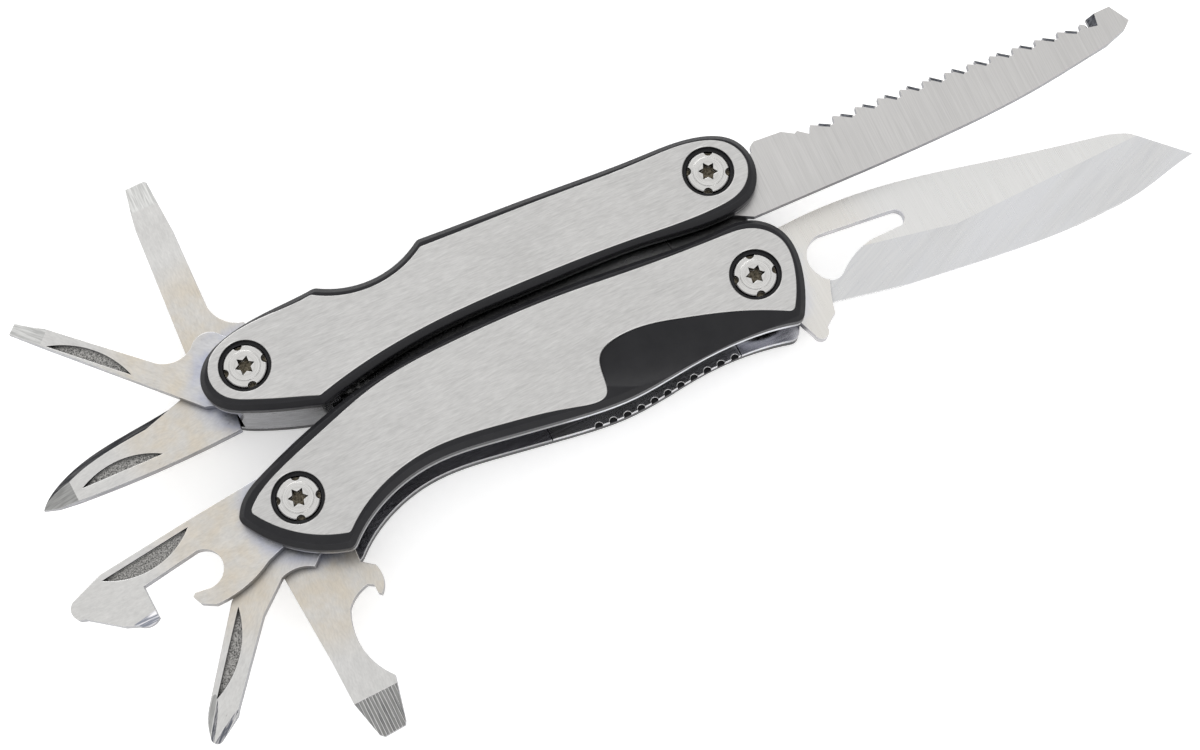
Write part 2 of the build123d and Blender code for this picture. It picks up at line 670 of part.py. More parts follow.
def large_driver_outline():
    """Large flat driver: straight blade, wide root."""
    with BuildLine() as outline:
        right = Polyline((-8.0, 42.4), (-4.4, 42.6), (-4.0, 42.2), (-3.0, 32.2), (-2.6, 16.9))
        root = ThreePointArc(right @ 1, (-1.3, 13.1), (2.4, 10.8))
        into = Line(root @ 1, (5.3, 1.6))
        tang = ThreePointArc(into @ 1, (2.0, -5.2), (-5.0, -2.4))
        left = Polyline(tang @ 1, (-9.1, 6.5), (-9.0, 34.2), (-8.7, 37.1))
        Line(left @ 1, right @ 0)
    make_face(outline.edges())


with BuildPart() as large_flat_driver:
    with BuildSketch(SAW_TOOLS.offset(LAYERS[0])):
        large_driver_outline()
        Circle(BARREL_R + RUNNING, mode=Mode.SUBTRACT)
    extrude(amount=TOOL_T)
    taper_tip(SAW_TOOLS, LAYERS[0], (-6.2, 42.5), (-6.0, 20.0), 4.9, 12.0, 1.2)
save(large_flat_driver, "large_flat_driver")


def can_opener_outline():
    """Can opener: long blade with an end hook, a slot and a lower claw."""
    with BuildLine() as outline:
        upper = Polyline((-5.1, 7.0), (-18.8, 5.7), (-35.3, 3.9), (-41.2, 1.7))
        end = ThreePointArc(upper @ 1, (-41.9, 1.0), (-41.4, -1.7))
        lip = Polyline(end @ 1, (-40.4, -2.0), (-35.2, -6.0), (-33.1, -6.9))
        beak = ThreePointArc(lip @ 1, (-30.6, -7.6), (-29.4, -7.0))
        step = Polyline(beak @ 1, (-29.6, -1.2), (-19.2, 0.3))
        bow = ThreePointArc(step @ 1, (-16.0, -3.0), (-19.5, -6.5))
        hook = Polyline(bow @ 1, (-22.3, -6.1), (-22.9, -6.6), (-22.2, -8.2), (-20.0, -9.5))
        belly = ThreePointArc(hook @ 1, (-15.6, -9.2), (-9.0, -6.7))
        into = Line(belly @ 1, (-3.0, -4.7))
        tang = ThreePointArc(into @ 1, (5.2, 2.0), (-2.0, 5.2))
        Polyline(tang @ 1, (-4.8, 3.2), upper @ 0)
    make_face(outline.edges())


with BuildPart() as can_opener:
    with BuildSketch(KNIFE_TOOLS.offset(LAYERS[3])):
        can_opener_outline()
        Circle(BARREL_R + RUNNING, mode=Mode.SUBTRACT)
    extrude(amount=TOOL_T)
    nick(KNIFE_TOOLS, LAYERS[3], (-35.5, 2.8), (-26.3, 0.9), (-18.8, 4.7))
    ground_facet(KNIFE_TOOLS, LAYERS[3] + TOOL_T, (-33.6, -6.5), (-29.0, -5.7), 35)
save(can_opener, "can_opener")


def cross_driver_outline():
    """Cross-head driver: blade tapering to a blunt point."""
    with BuildLine() as outline:
        left = Polyline((-5.2, -2.0), (-9.2, -3.2), (-17.6, -9.7), (-28.2, -24.0))
        neck = ThreePointArc(left @ 1, (-29.6, -26.3), (-30.3, -28.8))
        end = ThreePointArc(neck @ 1, (-30.0, -30.0), (-28.9, -30.3))
        right = Polyline(end @ 1, (-24.7, -27.6), (-24.0, -26.5), (-13.9, -14.3), (-8.3, -9.8))
        hollow = ThreePointArc(right @ 1, (-5.4, -9.5), (-2.6, -10.6))
        into = Polyline(hollow @ 1, (-0.8, -9.0), (3.6, -4.2))
        ThreePointArc(into @ 1, (3.9, 3.9), left @ 0)
    make_face(outline.edges())


with BuildPart() as phillips_driver:
    with BuildSketch(KNIFE_TOOLS.offset(LAYERS[2])):
        cross_driver_outline()
        Circle(BARREL_R + RUNNING, mode=Mode.SUBTRACT)
    extrude(amount=TOOL_T)
    nick(KNIFE_TOOLS, LAYERS[2], (-17.0, -11.0), (-18.6, -16.1), (-26.7, -23.6))
    # Flutes either side of the point, front and back, that leave a cross and run out up the blade
    axis = Vector(-1, -1).normalized()
    run_out = radians(9)
    for side in (1, -1):
        beside = axis.rotate(Axis.Z, 90) * side
        for face in (1, -1):
            end = axis * 41.8 + beside * 1.6
            end_z = LAYERS[2] + (TOOL_T if face > 0 else 0) + face * 0.3
            along = (-axis + beside * sin(run_out)).normalized()
            up_blade = along * cos(run_out) + Vector(0, 0, face * sin(run_out))
            flute = Plane(
                origin=KNIFE_TOOLS.from_local_coords((end.X, end.Y, end_z)),
                z_dir=up_blade.rotate(Axis.Z, LEAN),
            )
            with BuildSketch(flute) as section:
                Circle(1.4)
            extrude(section.sketch, amount=10, both=True, mode=Mode.SUBTRACT)
save(phillips_driver, "phillips_driver")


def bottle_opener_outline():
    """Bottle opener: hook on one side, wide driver end."""
    with BuildLine() as outline:
        left = Polyline((-5.2, -2.0), (-8.2, -6.5), (-8.2, -9.7), (-7.0, -26.5), (-6.7, -34.3), (-5.1, -40.7),
                        (-4.4, -41.4), (-0.5, -41.2), (-0.1, -40.5), (1.3, -34.2), (1.6, -32.9))
        mouth = ThreePointArc(left @ 1, (-1.5, -25.5), (-0.4, -19.4))
        crook = ThreePointArc(mouth @ 1, (1.5, -17.8), (4.0, -16.9))
        claw = Polyline(crook @ 1, (5.0, -17.5), (5.0, -19.0), (5.5, -19.5))
        knuckle = ThreePointArc(claw @ 1, (7.0, -16.6), (6.7, -14.5))
        shoulder = ThreePointArc(knuckle @ 1, (5.8, -13.8), (4.6, -12.8))
        into = Line(shoulder @ 1, (5.2, -2.0))
        ThreePointArc(into @ 1, (0, TANG_R), left @ 0)
    make_face(outline.edges())


with BuildPart() as bottle_opener:
    with BuildSketch(KNIFE_TOOLS.offset(LAYERS[1])):
        bottle_opener_outline()
        Circle(BARREL_R + RUNNING, mode=Mode.SUBTRACT)
    extrude(amount=TOOL_T)
    taper_tip(KNIFE_TOOLS, LAYERS[1], (-2.5, -41.4), (-2.7, -20.0), 7.1, 14.0, 1.1)
    corrugate_tip(KNIFE_TOOLS, LAYERS[1] + TOOL_T, (-2.5, -41.4), (-2.7, -20.0), 7.1, 0.55, 6, 1.2)
save(bottle_opener, "bottle_opener")


# ---------------------------------------------------------------- pliers head, about its rivet

KNIFE_PIN_FROM_RIVET = (KNIFE_PIN[0] - RIVET[0], KNIFE_PIN[1] - RIVET[1])
SAW_PIN_FROM_RIVET = (SAW_PIN[0] - RIVET[0], SAW_PIN[1] - RIVET[1])
LAP_R = 7.3
NOSE_END = (-55.8, 1.2)


def jaw_tang_outline(pin, side):
    """A jaw's tang: round on its pin, running back to the lap, with a flat that meets the other jaw."""
    with Locations(pin):
        Circle(7.8)
    with BuildLine() as outline:
        Polyline(
            (3.0, -0.8 - side * 0.08),
            (pin[0] + 3.0, -0.8 - side * 0.08),
            (pin[0] + 6.5, pin[1] + side * 4.3),
            (pin[0] - 3.0, pin[1] - side * 7.2),
            (1.0, -side * 6.9),
            close=True,
        )
    make_face(outline.edges())


def jaw_nose_outline(side):
    """A long tapering nose on one side of the parting line, with fine teeth on its grip."""
    slope = NOSE_END[1] / NOSE_END[0]
    gap = side * 0.08
    teeth = []
    for i in range(24):
        x = -16.0 - i * 1.6
        teeth += [(x, slope * x + gap), (x - 0.8, slope * (x - 0.8) + gap + side * 0.45)]
    with BuildLine() as outline:
        Polyline(
            (-2.0, gap),
            *teeth,
            (NOSE_END[0], NOSE_END[1] + gap),
            (NOSE_END[0] + 0.4, NOSE_END[1] + side * 2.2),
            (-40.0, 0.86 + side * 3.5),
            (-20.0, 0.43 + side * 5.6),
            (-5.0, side * 6.9),
            (-2.0, side * 6.9),
            close=True,
        )
    make_face(outline.edges())


def jaw(pin, side, lap_low, low, name):
    """One jaw: tang and nose at full thickness, half thickness where it laps the other jaw round the rivet."""
    with BuildPart() as piece:
        with BuildSketch(HEAD.offset(HEAD_Z[0])):
            jaw_tang_outline(pin, side)
            jaw_nose_outline(side)
            Circle(LAP_R + 0.1, mode=Mode.SUBTRACT)
        extrude(amount=HEAD_Z[1] - HEAD_Z[0])
        with BuildSketch(HEAD.offset(lap_low)):
            Circle(LAP_R)
            jaw_tang_outline(pin, side)
            jaw_nose_outline(side)
        extrude(amount=LAP_Z - 0.03 - HEAD_Z[0])
        if low < HEAD_Z[0]:
            with BuildSketch(HEAD.offset(low)):
                with Locations(pin):
                    Circle(7.8)
            extrude(amount=HEAD_Z[0] - low)
        with BuildSketch(HEAD.offset(low)):
            with Locations(pin):
                Circle(BARREL_R + RUNNING)
            Circle(2.0 + RUNNING)
        extrude(amount=HEAD_Z[1] - low, mode=Mode.SUBTRACT)
    save(piece, name)


jaw(KNIFE_PIN_FROM_RIVET, 1, LAP_Z + 0.03, HEAD_Z[0], "knife_side_jaw")
jaw(SAW_PIN_FROM_RIVET, -1, HEAD_Z[0], LAYERS[0], "saw_side_jaw")

with BuildPart() as jaw_rivet:
    with BuildSketch(HEAD.offset(HEAD_Z[0])):
        Circle(2.0)
    extrude(amount=HEAD_Z[1] - HEAD_Z[0])
save(jaw_rivet, "jaw_rivet")
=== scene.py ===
"""Looks of the multi tool: brushed and polished steel, black moulded scales, studio floor, light and camera.

Lengths are in metres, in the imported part's own frame. The CAD nodes carry the shapes, and this script gives
each one a procedural material.
"""

import json
from math import cos, pi, radians, sin

import bpy
from mathutils import Matrix, Vector


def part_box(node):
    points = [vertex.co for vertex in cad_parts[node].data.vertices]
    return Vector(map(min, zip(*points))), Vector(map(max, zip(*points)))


MM = 0.001

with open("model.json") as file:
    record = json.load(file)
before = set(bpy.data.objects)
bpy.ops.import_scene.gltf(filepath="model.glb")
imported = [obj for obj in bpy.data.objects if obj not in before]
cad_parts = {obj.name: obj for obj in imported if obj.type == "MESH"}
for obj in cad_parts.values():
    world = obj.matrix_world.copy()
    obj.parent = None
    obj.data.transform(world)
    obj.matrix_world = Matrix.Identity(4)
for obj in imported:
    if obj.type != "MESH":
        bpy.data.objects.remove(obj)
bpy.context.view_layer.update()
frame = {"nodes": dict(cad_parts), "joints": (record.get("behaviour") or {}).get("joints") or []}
nodes = frame["nodes"]
joints = {joint["name"]: joint for joint in frame["joints"]}


def pivot(joint_name):
    """Where a joint turns, in the row frame."""
    return Vector(joints[joint_name]["pos_m"])


def turn_between(start, end):
    """The angle of the line from one pivot to another, in the XY plane."""
    along = end - start
    return Vector((1, 0)).angle_signed(Vector((along.x, along.y))) * -1


KNIFE_PIN = pivot("knife_pivot")
SAW_PIN = pivot("saw_pivot")
KNIFE_TOOL_PIN = pivot("can_opener_pivot")
SAW_TOOL_PIN = pivot("large_driver_pivot")
KNIFE_TURN = turn_between(KNIFE_TOOL_PIN, KNIFE_PIN)
SAW_TURN = turn_between(SAW_TOOL_PIN, SAW_PIN)
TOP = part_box("knife_handle_front_plate")[1].z


# ---------------------------------------------------------------- node helpers

class Shader:
    """A material under construction, with short ways to add and join nodes."""

    def __init__(self, name):
        self.material = bpy.data.materials.new(name)
        self.material.use_nodes = True
        self.tree = self.material.node_tree
        self.surface = self.tree.nodes["Principled BSDF"]
        self.coords = self.add("ShaderNodeTexCoord").outputs["Object"]

    def add(self, kind, **settings):
        node = self.tree.nodes.new(kind)
        for key, value in settings.items():
            setattr(node, key, value)
        return node

    def feed(self, socket, value):
        """Put a number, colour or another node's output into a socket."""
        if isinstance(value, bpy.types.NodeSocket):
            self.tree.links.new(value, socket)
        else:
            socket.default_value = value

    def math(self, operation, first, second=0.0, clamp=False):
        node = self.add("ShaderNodeMath", operation=operation, use_clamp=clamp)
        self.feed(node.inputs[0], first)
        self.feed(node.inputs[1], second)
        return node.outputs[0]

    def local(self, origin, turn, scale=(1, 1, 1)):
        """Object coordinates seen from a point, turned and scaled: x along the grain."""
        mapping = self.add("ShaderNodeMapping", vector_type="TEXTURE")
        mapping.inputs["Location"].default_value = origin
        mapping.inputs["Rotation"].default_value = (0, 0, turn)
        mapping.inputs["Scale"].default_value = scale
        self.tree.links.new(self.coords, mapping.inputs["Vector"])
        return mapping.outputs["Vector"]

    def noise(self, vector, scale, detail=3.0, roughness=0.5):
        node = self.add("ShaderNodeTexNoise")
        self.feed(node.inputs["Vector"], vector)
        node.inputs["Scale"].default_value = scale
        node.inputs["Detail"].default_value = detail
        node.inputs["Roughness"].default_value = roughness
        return node.outputs["Fac"]

    def span(self, value, low, high, to_low=0.0, to_high=1.0, smooth=False):
        """Map a range of values onto another, held at both ends."""
        node = self.add("ShaderNodeMapRange")
        node.interpolation_type = "SMOOTHSTEP" if smooth else "LINEAR"
        self.feed(node.inputs["Value"], value)
        node.inputs["From Min"].default_value = low
        node.inputs["From Max"].default_value = high
        node.inputs["To Min"].default_value = to_low
        node.inputs["To Max"].default_value = to_high
        return node.outputs["Result"]

    def mix(self, factor, first, second, blend="MIX"):
        node = self.add("ShaderNodeMix", data_type="RGBA", blend_type=blend)
        self.feed(node.inputs["Factor"], factor)
        self.feed(node.inputs["A"], first)
        self.feed(node.inputs["B"], second)
        return node.outputs["Result"]

    def bump(self, height, depth, strength=1.0, normal=None):
        node = self.add("ShaderNodeBump")
        node.inputs["Strength"].default_value = strength
        node.inputs["Distance"].default_value = depth
        self.feed(node.inputs["Height"], height)
        if normal is not None:
            self.feed(node.inputs["Normal"], normal)
        return node.outputs["Normal"]

    def soft_edges(self, radius):
        """Normals rounded over the sharp edges, as a tumbled or moulded part has."""
        node = self.add("ShaderNodeBevel", samples=6)
        node.inputs["Radius"].default_value = radius
        return node.outputs["Normal"]

    def edge_highlight_and_wear(self, radius):
        """0 on flats, rising towards 1 on sharp convex edges: the mask for painted edge highlights and for
        the polish of worn edges.
        """
        rounded = self.add("ShaderNodeBevel", samples=6)
        rounded.inputs["Radius"].default_value = radius
        plain = self.add("ShaderNodeNewGeometry").outputs["Normal"]
        dot = self.add("ShaderNodeVectorMath", operation="DOT_PRODUCT")
        self.feed(dot.inputs[0], rounded.outputs["Normal"])
        self.feed(dot.inputs[1], plain)
        return self.span(dot.outputs["Value"], 0.995, 0.75, 0.0, 1.0)

    def axes(self, vector):
        node = self.add("ShaderNodeSeparateXYZ")
        self.feed(node.inputs[0], vector)
        return node.outputs["X"], node.outputs["Y"], node.outputs["Z"]

    def facing(self):
        """How far the surface faces up or down, from 0 on walls to 1 on the flats."""
        normal = self.add("ShaderNodeNewGeometry").outputs["True Normal"]
        return self.math("ABSOLUTE", self.axes(normal)[2])

    def slanted(self, flattest=0.95):
        """1 on ground facets and chamfers, 0 on the flats and on the walls."""
        facing = self.facing()
        off_flat = self.span(facing, flattest, flattest - 0.03)
        off_wall = self.span(facing, 0.1, 0.3)
        return self.math("MULTIPLY", off_flat, off_wall)

    def shade(self, distance, low=0.0):
        """How open the surface is to the light: 1 in the open, towards the low value deep in gaps."""
        node = self.add("ShaderNodeAmbientOcclusion", samples=8)
        node.inputs["Distance"].default_value = distance
        return self.span(node.outputs["AO"], 0.15, 0.75, low, 1.0, smooth=True)

    def radius(self, vector):
        """Distance from a local origin within the XY plane."""
        node = self.add("ShaderNodeVectorMath", operation="MULTIPLY")
        self.feed(node.inputs[0], vector)
        node.inputs[1].default_value = (1, 1, 0)
        length = self.add("ShaderNodeVectorMath", operation="LENGTH")
        self.feed(length.inputs[0], node.outputs["Vector"])
        return length.outputs["Value"]

    def band(self, value, low, high, soft):
        """1 between two values, 0 outside them."""
        rise = self.span(value, low - soft, low + soft, smooth=True)
        fall = self.span(value, high - soft, high + soft, 1.0, 0.0, smooth=True)
        return self.math("MULTIPLY", rise, fall)

    def finish(self, colour, roughness, metallic=1.0, normal=None, **fixed):
        self.feed(self.surface.inputs["Base Color"], colour)
        self.feed(self.surface.inputs["Roughness"], roughness)
        self.surface.inputs["Metallic"].default_value = metallic
        if normal is not None:
            self.feed(self.surface.inputs["Normal"], normal)
        for socket, value in fixed.items():
            self.surface.inputs[socket.replace("_", " ")].default_value = value
        return self.material


def grey(value, tint=(1.0, 1.0, 1.0)):
    return (value * tint[0], value * tint[1], value * tint[2], 1.0)


# ---------------------------------------------------------------- materials

STREAKS = {  # length and width of the fine and the broad brush marks
    "short": ((1.6, 0.2), (4.0, 0.5)),
    "long": ((14.0, 0.3), (30.0, 0.9)),
    "satin": ((0.9, 0.3), (3.0, 1.4)),
    "fine": ((10.0, 0.16), (16.0, 0.36)),
}


def brush_marks(s, origin, turn, kind):
    """Fine and broad streaks along local x."""
    (fine_x, fine_y), (broad_x, broad_y) = STREAKS[kind]
    fine = s.noise(s.local(origin, turn, (fine_x, fine_y, 2 * fine_y)), 1000, 2.0, 0.6)
    broad = s.noise(s.local(origin, turn, (broad_x, broad_y, 2 * broad_y)), 1000, 3.0, 0.55)
    return s.math("ADD", s.math("MULTIPLY", fine, 0.6), s.math("MULTIPLY", broad, 0.4))


def steel(s, streak, light, dark, tint=(1, 1, 1), wall=0.5):
    """Colour of a brushed piece: streaks, slow drift, and painted shade on the side walls with painted
    reflection stripes down them.
    """
    cloud = s.noise(s.coords, 60, 3.0, 0.6)
    tone = s.math("ADD", s.math("MULTIPLY", streak, 0.8), s.math("MULTIPLY", cloud, 0.2))
    colour = s.mix(s.span(tone, 0.34, 0.66), grey(dark, tint), grey(light, tint))
    # Painted shade and painted reflection: side walls darker than the flats, with light and dark stripes
    # running down them.
    marks = s.noise(s.local((0, 0, 0), 0, (3.0, 3.0, 0.12)), 1000, 2.0, 0.6)
    side_dark = grey(wall * 0.45, (0.98, 0.98, 1.06))
    side_light = grey(wall * 1.4, (0.98, 0.98, 1.04))
    side = s.mix(s.span(marks, 0.35, 0.65), side_dark, side_light)
    return s.mix(s.span(s.facing(), 0.1, 0.35, 1.0, 0.0), colour, side), tone


def heat_tint(s, colour, origin, amount=1.0):
    """Blue and straw oxide colours in patches round a hardened tang."""
    patch = s.noise(s.coords, 240, 3.0, 0.6)
    reach = s.math("ADD", s.radius(s.local(origin, 0)), s.math("MULTIPLY", patch, 5 * MM))
    blue_ring = s.band(reach, 9.5 * MM, 13 * MM, 1.2 * MM)
    blue = s.math("MULTIPLY", blue_ring, s.span(patch, 0.35, 0.6, 0.25, amount))
    straw_ring = s.band(reach, 13 * MM, 27 * MM, 4 * MM)
    straw = s.math("MULTIPLY", straw_ring, s.span(patch, 0.35, 0.65, 0.3, amount))
    colour = s.mix(blue, colour, (0.76, 0.81, 1.0, 1), "MULTIPLY")
    return s.mix(s.math("MULTIPLY", straw, 0.9), colour, (1.0, 0.92, 0.8, 1), "MULTIPLY")


def bright_edges(s, colour, width, value=0.92, amount=0.7):
    """Sharp edges, polished, with a painted highlight that makes them stand out from the brushed face."""
    highlight_and_wear = s.edge_highlight_and_wear(width)
    # Painted highlight: the sharp edges are lightened towards a pale grey.
    return s.mix(s.math("MULTIPLY", highlight_and_wear, amount), colour, grey(value)), highlight_and_wear


def brushed_steel(name, origin, turn, light=0.7, dark=0.58, rough=(0.3, 0.42), kind="short", tint=(1, 1, 1),
                  edge=0.1 * MM, wall=0.5, gap=2.5 * MM):
    """Steel brushed along local x, with polished edges and a painted highlight on them, and painted shade
    where it lies deep in a gap.
    """
    s = Shader(name)
    streak = brush_marks(s, origin, turn, kind)
    colour, tone = steel(s, streak, light, dark, tint, wall)
    colour, highlight_and_wear = bright_edges(s, colour, edge * 1.6)
    colour = s.mix(1.0, colour, s.shade(gap), "MULTIPLY")
    roughness = s.math("SUBTRACT", s.span(tone, 0.3, 0.7, *rough), s.math("MULTIPLY", highlight_and_wear, 0.15), clamp=True)
    return s.finish(colour, roughness, 1.0, s.bump(streak, 0.01 * MM, 0.4, s.soft_edges(edge)))


def liner_steel(name, origin, turn):
    """Ground sheet: painted shade on the edges in the gaps, a polished bluish stretch where a thumb reaches
    the lock.
    """
    s = Shader(name)
    streak = brush_marks(s, origin, turn, "long")
    colour, tone = steel(s, streak, 0.66, 0.56, (0.98, 0.98, 1.03), 0.2)
    x, y, _ = s.axes(s.local(origin, turn))
    thumb = s.math("MULTIPLY", s.band(x, -40 * MM, 2 * MM, 2 * MM), s.span(y, -3 * MM, -5 * MM))
    polished = s.mix(s.span(tone, 0.35, 0.65), grey(0.5, (0.92, 0.94, 1.06)), grey(0.85, (0.97, 0.98, 1.03)))
    colour = s.mix(thumb, colour, polished)
    colour, _ = bright_edges(s, colour, 0.2 * MM, 0.8, 0.5)
    colour = s.mix(1.0, colour, s.shade(6 * MM), "MULTIPLY")
    roughness = s.span(tone, 0.3, 0.7, 0.14, 0.26)
    return s.finish(colour, roughness, 1.0, s.bump(streak, 0.008 * MM, 0.3, s.soft_edges(0.12 * MM)))


def tool_steel(name, origin, turn, facet, tip_tone, nick):
    """Satin tool steel: heat tints at the tang, dark grainy nail nick, ground facets and a striped ground tip
    whose tones hold grind lines and painted shade, painted edge highlights, painted shade in the gaps.
    """
    s = Shader(name)
    streak = brush_marks(s, origin, turn, "satin")
    colour, tone = steel(s, streak, 0.72, 0.58, (1.0, 0.99, 0.97), 0.26)
    colour = heat_tint(s, colour, origin)
    lines = s.noise(s.local(origin, turn, (9.0, 0.35, 0.5)), 1000, 2.0, 0.6)
    tip_tint = (1.0, 1.0, 0.98)
    # Painted shade on the ground facets: the facet tone sets how dark they are, and the grind lines stripe
    # them.
    facet_dark = grey(facet * 0.5, (0.9, 0.95, 1.1))
    facet_light = grey(facet * 1.7, (1.0, 0.98, 1.0))
    ground = s.mix(s.span(lines, 0.4, 0.6), facet_dark, facet_light)
    colour = s.mix(s.slanted(0.93), colour, ground)
    # Painted shade on the ground tip, striped with the grind lines.
    tip = s.math("MULTIPLY", s.span(s.facing(), 0.9995, 0.998), s.span(s.facing(), 0.94, 0.95))
    stripe_dark = grey(tip_tone * 0.78, tip_tint)
    stripe_light = grey(tip_tone * 1.12, tip_tint)
    stripes = s.mix(s.span(lines, 0.38, 0.62), stripe_dark, stripe_light)
    colour = s.mix(tip, colour, stripes)
    grit = s.noise(s.coords, 3800, 3.0, 0.7)
    if nick:
        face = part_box(name)[1].z
        floor = s.band(s.axes(s.coords)[2], face - 0.85 * MM, face - 0.25 * MM, 0.03 * MM)
        floor = s.math("MULTIPLY", floor, s.span(s.facing(), 0.9985, 0.9995))
        grain = s.mix(s.span(grit, 0.36, 0.64), grey(0.05), grey(0.5, (1.0, 0.98, 0.94)))
        colour = s.mix(floor, colour, grain)
    colour, highlight_and_wear = bright_edges(s, colour, 0.2 * MM, 0.9, 0.6)
    colour = s.mix(1.0, colour, s.shade(4.0 * MM), "MULTIPLY")
    worn = s.math("MULTIPLY", highlight_and_wear, 0.12)
    roughness = s.math("SUBTRACT", s.span(tone, 0.3, 0.7, 0.26, 0.38), worn, clamp=True)
    height = s.math("ADD", streak, s.math("MULTIPLY", grit, 0.5))
    return s.finish(colour, roughness, 1.0, s.bump(height, 0.008 * MM, 0.4, s.soft_edges(0.16 * MM)))


def knife_steel(name, origin, turn):
    """Knife: faint marks across the flat, long diagonal ones down the grind, hatched cutting edge in a darker
    tone that is partly painted shade.
    """
    s = Shader(name)
    across = brush_marks(s, origin, turn + pi / 2, "fine")
    colour, tone = steel(s, across, 0.8, 0.72, (1.0, 0.995, 0.98), 0.5)
    colour = heat_tint(s, colour, origin, 0.3)
    diagonal = s.noise(s.local(origin, turn + radians(22), (9.0, 0.5, 1.0)), 1000, 3.0, 0.6)
    haze = s.noise(s.local(origin, turn + radians(22), (40.0, 6.0, 6.0)), 1000, 2.0, 0.5)
    ground = s.mix(s.span(diagonal, 0.34, 0.66), grey(0.65, (0.99, 0.995, 1.01)), grey(0.7))
    ground = s.mix(s.span(haze, 0.42, 0.62, 0.0, 0.6), ground, grey(0.75, (0.98, 0.99, 1.02)))
    on_grind = s.math("MULTIPLY", s.span(s.facing(), 0.9995, 0.998), s.span(s.facing(), 0.2, 0.4))
    colour = s.mix(on_grind, colour, ground)
    hatch = s.noise(s.local(origin, turn + radians(75), (2.0, 0.22, 0.4)), 1000, 2.0, 0.6)
    # Painted shade on the slanted cutting edge, together with its hatch marks.
    edge = s.mix(s.span(hatch, 0.38, 0.62), grey(0.26, (1.0, 0.96, 0.9)), grey(0.5, (1.0, 0.96, 0.9)))
    colour = s.mix(s.slanted(0.975), colour, edge)
    colour, highlight_and_wear = bright_edges(s, colour, 0.2 * MM, 0.92, 0.6)
    colour = s.mix(1.0, colour, s.shade(2.0 * MM), "MULTIPLY")
    worn = s.math("MULTIPLY", highlight_and_wear, 0.1)
    roughness = s.math("SUBTRACT", s.span(tone, 0.3, 0.7, 0.24, 0.34), worn, clamp=True)
    return s.finish(colour, roughness, 1.0, s.bump(across, 0.008 * MM, 0.3, s.soft_edges(0.12 * MM)))


def saw_steel(name, origin, turn):
    """Saw: brushed across the blade, tooth facets painted dark as shade, with grind lines."""
    s = Shader(name)
    streak = brush_marks(s, origin, turn + pi / 2, "fine")
    colour, tone = steel(s, streak, 0.64, 0.52, (1.0, 0.985, 0.97), 0.25)
    ground = s.noise(s.local(origin, turn, (2.0, 0.2, 0.3)), 1000, 2.0, 0.6)
    # Painted shade: the slanted tooth facets are coloured near black, with grind lines.
    dark = s.mix(s.span(ground, 0.35, 0.65), grey(0.035, (0.9, 0.95, 1.1)), grey(0.16, (0.95, 0.98, 1.08)))
    colour = s.mix(s.slanted(), colour, dark)
    colour, _ = bright_edges(s, colour, 0.12 * MM, 0.9, 0.4)
    colour = s.mix(1.0, colour, s.shade(1.5 * MM), "MULTIPLY")
    roughness = s.span(tone, 0.3, 0.7, 0.28, 0.4)
    return s.finish(colour, roughness, 1.0, s.bump(streak, 0.008 * MM, 0.4, s.soft_edges(0.06 * MM)))


def screw_steel(name, pins):
    """Turned screw heads: fine rings round each pin, warm brown in the star and the notches."""
    s = Shader(name)
    near = s.math("MINIMUM", *(s.radius(s.local(pin, 0)) for pin in pins))
    rings = s.add("ShaderNodeTexNoise", noise_dimensions="1D")
    s.feed(rings.inputs["W"], near)
    rings.inputs["Scale"].default_value = 3200
    wobble = s.noise(s.coords, 600, 2.0, 0.5)
    tone = s.math("ADD", s.math("MULTIPLY", rings.outputs["Fac"], 0.7), s.math("MULTIPLY", wobble, 0.3))
    colour = s.mix(s.span(tone, 0.3, 0.7), grey(0.56, (1.0, 0.985, 0.96)), grey(0.72, (1.0, 0.99, 0.97)))
    height = s.math("ABSOLUTE", s.math("SUBTRACT", s.axes(s.coords)[2], TOP / 2))
    sunk = s.span(height, TOP / 2 - 0.75 * MM, TOP / 2 - 0.45 * MM, 1.0, 0.0)
    grit = s.noise(s.coords, 2600, 3.0, 0.6)
    brown = s.mix(s.span(grit, 0.35, 0.65), (0.035, 0.03, 0.022, 1), (0.2, 0.175, 0.13, 1))
    colour = s.mix(sunk, colour, brown)
    colour, _ = bright_edges(s, colour, 0.16 * MM, 0.95, 0.8)
    colour = s.mix(1.0, colour, s.shade(0.8 * MM, 0.15), "MULTIPLY")
    roughness = s.math("ADD", s.span(tone, 0.3, 0.7, 0.2, 0.34), s.math("MULTIPLY", sunk, 0.25))
    normal = s.bump(rings.outputs["Fac"], 0.005 * MM, 0.3, s.soft_edges(0.12 * MM))
    return s.finish(colour, roughness, 1.0, normal)


def scale_plastic(name):
    """Black moulded nylon: fine pebble grain, a painted highlight on the bevel, and painted shade in the
    gaps.
    """
    s = Shader(name)
    pebble = s.noise(s.coords, 5200, 2.0, 0.6)
    drift = s.noise(s.coords, 260, 3.0, 0.6)
    # Painted highlight: the bevels are lightened to a violet grey, more in some patches.
    highlight_and_wear = s.math("MULTIPLY", s.edge_highlight_and_wear(0.3 * MM), s.span(drift, 0.35, 0.7, 0.35, 1.0))
    base = s.mix(s.span(drift, 0.3, 0.7), (0.008, 0.008, 0.01, 1), (0.013, 0.013, 0.015, 1))
    colour = s.mix(s.math("MULTIPLY", highlight_and_wear, 0.6), base, (0.085, 0.083, 0.1, 1))
    colour = s.mix(1.0, colour, s.shade(3 * MM), "MULTIPLY")
    roughness = s.span(s.math("ADD", pebble, s.math("MULTIPLY", drift, 0.5)), 0.5, 1.0, 0.34, 0.5)
    normal = s.bump(pebble, 0.02 * MM, 0.4, s.soft_edges(0.3 * MM))
    return s.finish(colour, roughness, 0.0, normal, Specular_IOR_Level=0.28)


HANDLES = {
    "knife_handle": (KNIFE_PIN, KNIFE_TOOL_PIN, KNIFE_TURN),
    "saw_handle": (SAW_PIN, SAW_TOOL_PIN, SAW_TURN),
}
